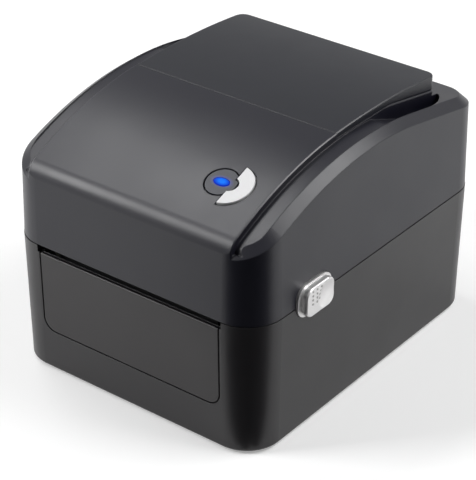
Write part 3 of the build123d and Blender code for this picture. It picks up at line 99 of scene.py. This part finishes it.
# Floor: half its side, its grey, and the glow that grows to white between two distances
FLOOR_REACH = 30.0
FLOOR_GREY = 0.80
FLOOR_GLOW = 0.28
FLOOR_GLOW_FROM = 0.6
FLOOR_WHITE_FROM = 2.2

# Dark card: the printer's near corner, reach and height of each ring round it, and the span of azimuths
CARD_CORNER = Vector((0.083, -0.104, 0.0005))
CARD_RINGS = ((0.004, 0.0), (0.24, 0.0), (0.30, 0.26))
CARD_FROM = math.radians(-122.0)
CARD_TO = math.radians(16.0)
CARD_STEPS = 16
CARD_BLACK = (0.005, 0.005, 0.006, 1.0)

# Grip studs on the release buttons, set on the face by rays that start at this distance on each side
OUTSIDE_X = 0.2
STUD_COLUMNS = 3
STUD_ROWS = 4
STUD_COLUMN_PITCH = 0.0038
STUD_ROW_PITCH = 0.0026
STUD_MIDDLE_Y = -0.0630
STUD_MIDDLE_Z = 0.0880
STUD_RADIUS = 0.00078
STUD_PROUD = 0.0004

# Edge strips: each node with its half width and the place where the strip ends at the rear, the radius of
# its rounded side edges, and the strip's section in steps outward and upward from the sharp corner
EDGED_NODES = (("upper_cover", 0.0710, -0.0157), ("top_plate", 0.0706, 0.0785))
EDGE_ROUNDING = 0.0011
EDGE_SECTION = (
    (-0.00105, -0.00002),
    (-0.00067, 0.0),
    (0.0, -0.00049),
    (-0.00002, -0.00105),
    (-0.0005, -0.0005),
)
EDGE_LOWEST_Z = 0.125
ON_THE_EDGE = 0.00002

SIDES = ((-1, "left"), (1, "right"))


def srgb(red, green, blue):
    """Linear colour with alpha from 8-bit screen values."""
    channels = []
    for value in (red, green, blue):
        share = value / 255
        channels.append(share / 12.92 if share <= 0.04045 else ((share + 0.055) / 1.055) ** 2.4)
    return (*channels, 1.0)


def add_object(name, data):
    """A new object in the scene."""
    made = bpy.data.objects.new(name, data)
    bpy.context.scene.collection.objects.link(made)
    return made


def make_camera():
    """The camera stands where the photograph was taken from."""
    back = Vector((
        math.sin(CAMERA_AZIMUTH) * math.cos(CAMERA_ELEVATION),
        -math.cos(CAMERA_AZIMUTH) * math.cos(CAMERA_ELEVATION),
        math.sin(CAMERA_ELEVATION),
    ))
    level_right = Vector((math.cos(CAMERA_AZIMUTH), math.sin(CAMERA_AZIMUTH), 0.0))
    level_up = back.cross(level_right)
    right = level_right * math.cos(CAMERA_ROLL) + level_up * math.sin(CAMERA_ROLL)
    up = level_up * math.cos(CAMERA_ROLL) - level_right * math.sin(CAMERA_ROLL)
    data = bpy.data.cameras.new("camera")
    data.sensor_fit = "VERTICAL"
    data.sensor_height = SENSOR_MILLIMETRES
    data.lens = FOCAL_PIXELS / FRAME_HEIGHT_PIXELS * SENSOR_MILLIMETRES
    camera = add_object("camera", data)
    turn = Matrix((right, up, back)).transposed().to_4x4()
    camera.matrix_world = Matrix.Translation(CAMERA_PLACE) @ turn
    bpy.context.scene.camera = camera


# Shader helpers


def new_material(name):
    """An empty node material with a Principled shader."""
    material = bpy.data.materials.new(name)
    material.use_nodes = True
    tree = material.node_tree
    tree.nodes.clear()
    output = tree.nodes.new("ShaderNodeOutputMaterial")
    shader = tree.nodes.new("ShaderNodeBsdfPrincipled")
    tree.links.new(shader.outputs["BSDF"], output.inputs["Surface"])
    return material, tree, shader


def node(tree, kind, **inputs):
    """A shader node with values or links for its inputs; underscores in names stand for spaces."""
    made = tree.nodes.new(kind)
    for name, value in inputs.items():
        socket = made.inputs[name.replace("_", " ")]
        if isinstance(value, bpy.types.NodeSocket):
            tree.links.new(value, socket)
        else:
            socket.default_value = value
    return made


def object_place(tree):
    """The place on the object, in its own space."""
    return tree.nodes.new("ShaderNodeTexCoord").outputs["Object"]


def ranged(tree, value, from_low, from_high, low=0.0, high=1.0):
    """A value stretched from one range to another, and held at its ends."""
    return node(tree, "ShaderNodeMapRange", Value=value, From_Min=from_low, From_Max=from_high,
                To_Min=low, To_Max=high).outputs["Result"]


def computed(tree, operation, first, second):
    """The result of a sum, product or the like of two values."""
    made = node(tree, "ShaderNodeMath")
    made.operation = operation
    tree.links.new(first, made.inputs[0])
    tree.links.new(second, made.inputs[1])
    return made.outputs[0]


def vector_computed(tree, operation, vector, other):
    """A vector with a fixed vector taken from it or multiplied into it."""
    made = node(tree, "ShaderNodeVectorMath", Vector=vector)
    made.operation = operation
    made.inputs[1].default_value = other
    return made.outputs["Vector"]


def length(tree, vector):
    """The length of a vector."""
    made = node(tree, "ShaderNodeVectorMath", Vector=vector)
    made.operation = "LENGTH"
    return made.outputs["Value"]


def blended(tree, share, first, second):
    """The first colour where the share is 0, and the second where it is 1."""
    mix = tree.nodes.new("ShaderNodeMix")
    mix.data_type = "RGBA"
    tree.links.new(share, mix.inputs["Factor"])
    mix.inputs["A"].default_value = first
    mix.inputs["B"].default_value = second
    return mix.outputs["Result"]


def noise(tree, place, scale, detail):
    """Noise in object space; scale is the number of grains in a metre."""
    return node(tree, "ShaderNodeTexNoise", Vector=place, Scale=scale, Detail=detail,
                Roughness=NOISE_ROUGHNESS).outputs["Fac"]


def spread(tree, value, low, high):
    """Noise, which keeps to the middle of its scale, stretched to the range from low to high."""
    return ranged(tree, value, NOISE_LOW, NOISE_HIGH, low, high)


def tinted(tree, value, colour, share):
    """The colour a little darker or lighter, following a value from 0 to 1."""
    darker = tuple(channel * (1 - share) for channel in colour[:3]) + (1.0,)
    lighter = tuple(min(1.0, channel * (1 + share)) for channel in colour[:3]) + (1.0,)
    return blended(tree, value, darker, lighter)


def rounded_bump(tree, height, depth, edge):
    """A bump of the given depth in metres over edges that are rounded by the given radius."""
    soft = tree.nodes.new("ShaderNodeBevel")
    soft.samples = BEVEL_SAMPLES
    soft.inputs["Radius"].default_value = edge
    return node(tree, "ShaderNodeBump", Height=height, Distance=depth, Strength=1.0,
                Normal=soft.outputs["Normal"]).outputs["Normal"]


# Materials: depth is that of the grain, and edge the radius of the softened edges


def moulded(name, colour, roughness, depth=0.000012, edge=0.0004, specular=0.5, metallic=0.0):
    """Moulded plastic, bare or in satin paint: fine spark-eroded grain, and gloss that changes slowly."""
    material, tree, shader = new_material(name)
    place = object_place(tree)
    fine = noise(tree, place, PLASTIC_GRAIN, detail=2.0)
    slow = noise(tree, place, PLASTIC_CLOUDS, detail=4.0)
    tree.links.new(tinted(tree, slow, colour, share=0.05), shader.inputs["Base Color"])
    varied = spread(tree, slow, low=roughness - 0.03, high=roughness + 0.03)
    tree.links.new(varied, shader.inputs["Roughness"])
    tree.links.new(rounded_bump(tree, fine, depth, edge), shader.inputs["Normal"])
    shader.inputs["Specular IOR Level"].default_value = specular
    shader.inputs["Metallic"].default_value = metallic
    return material


def metal(name, colour, roughness, brush=(1.0, 40.0, 40.0)):
    """Worked metal: drawn or rolled streaks along one direction, seen in its gloss and its bump."""
    material, tree, shader = new_material(name)
    squeezed = node(tree, "ShaderNodeMapping", Vector=object_place(tree), Scale=brush).outputs["Vector"]
    streaks = noise(tree, squeezed, METAL_STREAKS, detail=4.0)
    tree.links.new(tinted(tree, streaks, colour, share=0.12), shader.inputs["Base Color"])
    varied = spread(tree, streaks, low=roughness - 0.07, high=roughness + 0.09)
    tree.links.new(varied, shader.inputs["Roughness"])
    tree.links.new(rounded_bump(tree, streaks, depth=0.000008, edge=0.0002), shader.inputs["Normal"])
    shader.inputs["Metallic"].default_value = 1.0
    return material


def rubber(name, colour, roughness):
    """Moulded or ground rubber with a dull, slightly uneven skin."""
    material, tree, shader = new_material(name)
    fine = noise(tree, object_place(tree), RUBBER_GRAIN, detail=3.0)
    tree.links.new(tinted(tree, fine, colour, share=0.2), shader.inputs["Base Color"])
    varied = spread(tree, fine, low=roughness - 0.08, high=roughness + 0.05)
    tree.links.new(varied, shader.inputs["Roughness"])
    tree.links.new(rounded_bump(tree, fine, depth=0.00002, edge=0.0003), shader.inputs["Normal"])
    shader.inputs["Specular IOR Level"].default_value = 0.3
    return material


def circuit_board(name):
    """Green solder resist with lighter copper tracks showing through."""
    material, tree, shader = new_material(name)
    tracks = node(tree, "ShaderNodeTexBrick", Vector=object_place(tree), Scale=BOARD_TRACKS,
                  Color1=srgb(10, 74, 40), Color2=srgb(14, 88, 46), Mortar=srgb(38, 120, 62),
                  Mortar_Size=0.03)
    tree.links.new(tracks.outputs["Color"], shader.inputs["Base Color"])
    relief = rounded_bump(tree, tracks.outputs["Fac"], depth=0.00003, edge=0.0002)
    tree.links.new(relief, shader.inputs["Normal"])
    shader.inputs["Roughness"].default_value = 0.3
    return material


def distance_from_light(tree, place):
    """How far a place lies from the status light's middle, seen from above: 1 at the rim of its lens."""
    light = nodes["status_light"].data
    upward = [face for face in light.polygons if face.normal.z > LENS_FACES_UP]
    outward = upward[0].normal
    top = max(face.center.dot(outward) for face in upward)
    lens = [light.vertices[index].co for face in upward if face.center.dot(outward) > top - LENS_DEPTH
            for index in face.vertices]
    low = Vector(map(min, zip(*lens)))
    high = Vector(map(max, zip(*lens)))
    half = (high - low) / 2
    shifted = vector_computed(tree, "SUBTRACT", place, (low + high) / 2)
    return length(tree, vector_computed(tree, "MULTIPLY", shifted, (1 / half.x, 1 / half.y, 0.0)))


def lit_lens(name, colour, rim_colour, strength):
    """A translucent diffuser lit from behind, brightest in its middle."""
    material, tree, shader = new_material(name)
    place = object_place(tree)
    cloud = noise(tree, place, LENS_CLOUDS, detail=2.0)
    toward_rim = ranged(tree, distance_from_light(tree, place), LENS_CORE, 1.0)
    glow = blended(tree, toward_rim, colour, rim_colour)
    tree.links.new(glow, shader.inputs["Base Color"])
    tree.links.new(glow, shader.inputs["Emission Color"])
    tree.links.new(rounded_bump(tree, cloud, depth=0.000006, edge=0.0003), shader.inputs["Normal"])
    shader.inputs["Emission Strength"].default_value = strength
    shader.inputs["Roughness"].default_value = 0.5
    shader.inputs["Specular IOR Level"].default_value = 0.05
    return material


def with_light_spill(material, colour, strength):
    """A material that glows faintly round the status light, where the light spills onto it."""
    tree = material.node_tree
    distance = distance_from_light(tree, object_place(tree))
    spill = ranged(tree, distance, 1.0, SPILL_REACH, low=strength, high=0.0)
    shader = next(made for made in tree.nodes if made.type == "BSDF_PRINCIPLED")
    shader.inputs["Emission Color"].default_value = colour
    tree.links.new(spill, shader.inputs["Emission Strength"])
    return material


def make_materials():
    """One material for each slot of the record, and those of the crisp edges and the grip studs."""
    cover_colour = srgb(17, 17, 28)
    plate_colour = srgb(16, 18, 27)
    disc_black = moulded("disc_black", srgb(42, 44, 52), 0.42, depth=0.000002, edge=0.0002, specular=0.4)
    return {
        "case_plastic": moulded("case_plastic", srgb(26, 24, 27), 0.38),
        "cover_plastic": moulded("cover_plastic", cover_colour, 0.38, edge=0.0008, specular=0.48),
        "plate_plastic": moulded("plate_plastic", plate_colour, 0.40, edge=0.0008),
        "cover_edge": moulded("cover_edge", cover_colour, 0.38, edge=0.0001, specular=0.6),
        "plate_edge": moulded("plate_edge", plate_colour, 0.38, edge=0.0001, specular=0.6),
        "panel_plastic": moulded("panel_plastic", srgb(31, 28, 30), 0.40),
        "foot_rubber": rubber("foot_rubber", srgb(28, 28, 28), 0.8),
        "steel": metal("steel", srgb(190, 190, 192), 0.28),
        "tray_plastic": moulded("tray_plastic", srgb(38, 38, 39), 0.5, depth=0.00002),
        "screw_steel": metal("screw_steel", srgb(120, 120, 124), 0.35),
        "frame_steel": metal("frame_steel", srgb(170, 172, 175), 0.38, brush=(40.0, 1.0, 40.0)),
        "platen_rubber": rubber("platen_rubber", srgb(34, 34, 36), 0.6),
        "bearing_plastic": moulded("bearing_plastic", srgb(214, 210, 198), 0.45),
        "gear_plastic": moulded("gear_plastic", srgb(226, 224, 214), 0.42),
        "motor_metal": metal("motor_metal", srgb(168, 168, 172), 0.33, brush=(1.0, 30.0, 30.0)),
        "brass": metal("brass", srgb(205, 165, 92), 0.3),
        "holder_plastic": moulded("holder_plastic", srgb(58, 88, 130), 0.45),
        "sensor_plastic": moulded("sensor_plastic", srgb(40, 96, 58), 0.45),
        "board": circuit_board("board"),
        "socket_black": moulded("socket_black", srgb(26, 26, 27), 0.45),
        "socket_metal": metal("socket_metal", srgb(180, 180, 182), 0.3),
        "rocker_black": moulded("rocker_black", srgb(24, 24, 25), 0.3, depth=0.000005),
        "liner_plastic": moulded("liner_plastic", srgb(38, 38, 39), 0.5, depth=0.00002),
        "release_grey": moulded("release_grey", srgb(222, 221, 221), 0.30,
                                depth=0.000006, edge=0.00035, metallic=0.72),
        # the studs' darker, less metallic colour is painted shade, standing in for the dark spots of the
        # grip dimples
        "release_stud_painted_shade": moulded("release_stud_painted_shade", srgb(178, 177, 176), 0.34,
                                depth=0.000006, edge=0.0001, metallic=0.4),
        "latch_plastic": moulded("latch_plastic", srgb(150, 150, 150), 0.42),
        "heat_sink_metal": metal("heat_sink_metal", srgb(196, 197, 200), 0.42),
        "ceramic": moulded("ceramic", srgb(204, 196, 176), 0.22, depth=0.000004),
        "spring_steel": metal("spring_steel", srgb(180, 180, 184), 0.25),
        "tear_steel": metal("tear_steel", srgb(196, 197, 200), 0.3),
        "button_white": moulded("button_white", srgb(212, 212, 213), 0.45,
                                depth=0.000005, edge=0.0003, specular=0.25),
        "disc_black": with_light_spill(disc_black, srgb(20, 60, 255), 0.2),
        "light_blue": lit_lens("light_blue", srgb(14, 100, 212), srgb(2, 42, 165), 0.4),
    }


def dress_nodes(materials):
    """Gives each CAD node the material of its slot."""
    for name, piece in nodes.items():
        piece.data.materials.clear()
        piece.data.materials.append(materials[slot_of[name]])


# Surroundings


def make_lights():
    """Four soft lamps: above left, the broad key in front, one for the right bevel and a right fill."""
    for name, place, width, height, power in LAMPS:
        data = bpy.data.lights.new(name, "AREA")
        data.shape = "RECTANGLE"
        data.size = width
        data.size_y = height
        data.energy = power
        lamp = add_object(name, data)
        lamp.location = place
        lamp.rotation_euler = (Vector(LAMP_TARGET) - Vector(place)).to_track_quat("-Z", "Y").to_euler()


def seen_or_reflected(tree):
    """1 for rays from the camera, a reflection or glass, and 0 for rays that light a surface."""
    paths = tree.nodes.new("ShaderNodeLightPath").outputs
    seen = paths["Is Camera Ray"]
    for name in ("Is Glossy Ray", "Is Transmission Ray"):
        seen = computed(tree, "MAXIMUM", seen, paths[name])
    return seen


def make_world():
    """A dim, even studio: white to the camera, and in reflections white at the horizon, dimmer above."""
    world = bpy.data.worlds.new("studio")
    bpy.context.scene.world = world
    world.use_nodes = True
    tree = world.node_tree
    tree.nodes.clear()
    output = tree.nodes.new("ShaderNodeOutputWorld")
    light = node(tree, "ShaderNodeBackground", Color=WHITE, Strength=WORLD_LIGHT)
    direction = tree.nodes.new("ShaderNodeTexCoord").outputs["Generated"]
    rise = node(tree, "ShaderNodeSeparateXYZ", Vector=direction).outputs["Z"]
    reflected = ranged(tree, rise, 0.0, CEILING_FROM, low=1.0, high=CEILING_WHITE)
    seen = tree.nodes.new("ShaderNodeLightPath").outputs["Is Camera Ray"]
    strength = computed(tree, "MAXIMUM", seen, reflected)
    white = node(tree, "ShaderNodeBackground", Color=WHITE, Strength=strength)
    mix = node(tree, "ShaderNodeMixShader", Fac=seen_or_reflected(tree))
    tree.links.new(light.outputs[0], mix.inputs[1])
    tree.links.new(white.outputs[0], mix.inputs[2])
    tree.links.new(mix.outputs[0], output.inputs["Surface"])


def make_floor():
    """A pale floor that looks white to the camera but keeps the object's shadow."""
    mesh = bpy.data.meshes.new("floor")
    corners = [(x * FLOOR_REACH, y * FLOOR_REACH, 0.0) for x, y in ((-1, -1), (1, -1), (1, 1), (-1, 1))]
    mesh.from_pydata(corners, [], [(0, 1, 2, 3)])
    floor = add_object("floor", mesh)
    material, tree, shader = new_material("floor")
    shader.inputs["Base Color"].default_value = (FLOOR_GREY, FLOOR_GREY, FLOOR_GREY, 1.0)
    shader.inputs["Roughness"].default_value = 0.9
    shader.inputs["Specular IOR Level"].default_value = 0.1
    # the lamps' light fades with distance, so the glow grows to white there
    distance = length(tree, object_place(tree))
    level = ranged(tree, distance, FLOOR_GLOW_FROM, FLOOR_WHITE_FROM, low=FLOOR_GLOW, high=1.0)
    glow = computed(tree, "MULTIPLY", seen_or_reflected(tree), level)
    shader.inputs["Emission Color"].default_value = WHITE
    tree.links.new(glow, shader.inputs["Emission Strength"])
    mesh.materials.append(material)


def make_dark_card():
    """A dark sheet around the near corner, lying and then standing up, seen only in reflections."""
    points = []
    for reach, height in CARD_RINGS:
        for step in range(CARD_STEPS + 1):
            azimuth = CARD_FROM + (CARD_TO - CARD_FROM) * step / CARD_STEPS
            outward = Vector((math.cos(azimuth), math.sin(azimuth), 0.0))
            points.append(CARD_CORNER + outward * reach + Vector((0.0, 0.0, height)))
    faces = []
    row = CARD_STEPS + 1
    for ring in range(len(CARD_RINGS) - 1):
        for step in range(CARD_STEPS):
            first = ring * row + step
            faces.append((first, first + 1, first + row + 1, first + row))
    mesh = bpy.data.meshes.new("dark_card")
    mesh.from_pydata(points, [], faces)
    card = add_object("dark_card", mesh)
    material, _, shader = new_material("dark_card")
    shader.inputs["Base Color"].default_value = CARD_BLACK
    shader.inputs["Roughness"].default_value = 1.0
    shader.inputs["Specular IOR Level"].default_value = 0.0
    mesh.materials.append(material)
    card.visible_camera = False
    card.visible_diffuse = False
    card.visible_shadow = False


# Pieces on the printer


def finished_mesh(shape, name, material):
    """The mesh of a finished bmesh, in one material."""
    mesh = bpy.data.meshes.new(name)
    shape.to_mesh(mesh)
    shape.free()
    mesh.materials.append(material)
    return mesh


def ordered_mesh(shape, name, material):
    """The smooth mesh of a finished bmesh, with corners and faces listed in the same order in each run."""
    corners = sorted(shape.verts, key=lambda corner: tuple(corner.co))
    number_of = {corner: number for number, corner in enumerate(corners)}
    faces = []
    for face in shape.faces:
        numbers = [number_of[corner] for corner in face.verts]
        first = numbers.index(min(numbers))
        faces.append(numbers[first:] + numbers[:first])
    mesh = bpy.data.meshes.new(name)
    mesh.from_pydata([corner.co for corner in corners], [], sorted(faces))
    shape.free()
    mesh.shade_smooth()
    mesh.materials.append(material)
    return mesh


def make_release_dots(material):
    """Twelve small grip studs on each release button's dished face, a separate piece on each side; their
    darker colour is painted shade.
    """
    for side, name in SIDES:
        button = nodes["release_button_" + name].data
        surface = BVHTree.FromPolygons([corner.co for corner in button.vertices],
                                       [face.vertices for face in button.polygons])
        shape = bmesh.new()
        for column in range(STUD_COLUMNS):
            y = STUD_MIDDLE_Y + (column - (STUD_COLUMNS - 1) / 2) * STUD_COLUMN_PITCH
            for row in range(STUD_ROWS):
                z = STUD_MIDDLE_Z + (row - (STUD_ROWS - 1) / 2) * STUD_ROW_PITCH
                place, outward, _, _ = surface.ray_cast((side * OUTSIDE_X, y, z), (-side, 0.0, 0.0))
                turn = outward.to_track_quat("X", "Z").to_matrix().to_4x4()
                flattening = Matrix.Diagonal((STUD_PROUD, STUD_RADIUS, STUD_RADIUS, 1.0))
                stud = Matrix.Translation(place) @ turn @ flattening
                bmesh.ops.create_uvsphere(shape, u_segments=16, v_segments=10, radius=1.0, matrix=stud)
        dots = add_object("release_dots_" + name, ordered_mesh(shape, "release_dots_" + name, material))
        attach(dots, "release_" + name)


def make_head_springs():
    """The two coil springs over the print head, copied from their CAD nodes and carried by the cover."""
    for _, side_name in SIDES:
        node_name = "head_spring_" + side_name
        coil = add_object("head_coil_" + side_name, nodes[node_name].data.copy())
        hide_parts(node_name)
        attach(coil, "cover")
        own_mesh(coil)


def edge_path(node_name, rounding_x, rear_y):
    """Where a node's top surface meets its rounded right edge, front to rear, to 0.01 millimetres."""
    found = set()
    for corner in nodes[node_name].data.vertices:
        x, y, z = corner.co
        if abs(x - rounding_x) < ON_THE_EDGE and y < rear_y and z > EDGE_LOWEST_Z:
            found.add((round(y, 5), round(z, 5)))
    return sorted(found)


def swept_edge(path, side, edge_x):
    """The edge section swept along a path, as a closed bmesh."""
    shape = bmesh.new()
    rings = []
    for index, (y, z) in enumerate(path):
        before = path[max(0, index - 1)]
        after = path[min(len(path) - 1, index + 1)]
        along = Vector((0.0, after[0] - before[0], after[1] - before[1])).normalized()
        up = Vector((0.0, -along.z, along.y))
        rings.append([shape.verts.new(Vector((side * (edge_x + out), y, z)) + up * rise)
                      for out, rise in EDGE_SECTION])
    for first, second in zip(rings, rings[1:]):
        for corner in range(len(EDGE_SECTION)):
            follow = (corner + 1) % len(EDGE_SECTION)
            shape.faces.new((first[corner], first[follow], second[follow], second[corner]))
    shape.faces.new(rings[0])
    shape.faces.new(rings[-1])
    bmesh.ops.recalc_face_normals(shape, faces=shape.faces)
    return shape


def make_edge_strips(materials):
    """The crisp bevelled edges along both sides of the band and of the plate, which catch the light."""
    for node_name, edge_x, rear_y in EDGED_NODES:
        path = edge_path(node_name, edge_x - EDGE_ROUNDING, rear_y)
        # a mesh with no points there keeps its plain rounding
        if len(path) < 2:
            continue
        slot_name = slot_of[node_name]
        material = materials[slot_name.replace("plastic", "edge")]
        for side, side_name in SIDES:
            name = node_name + "_edge_" + side_name
            strip = add_object(name, finished_mesh(swept_edge(path, side, edge_x), name, material))
            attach(strip, "cover")


bpy.context.scene.view_settings.view_transform = "Standard"
made_materials = make_materials()
make_camera()
dress_nodes(made_materials)
make_world()
make_floor()
make_dark_card()
make_lights()
make_release_dots(made_materials["release_stud_painted_shade"])
make_head_springs()
make_edge_strips(made_materials)
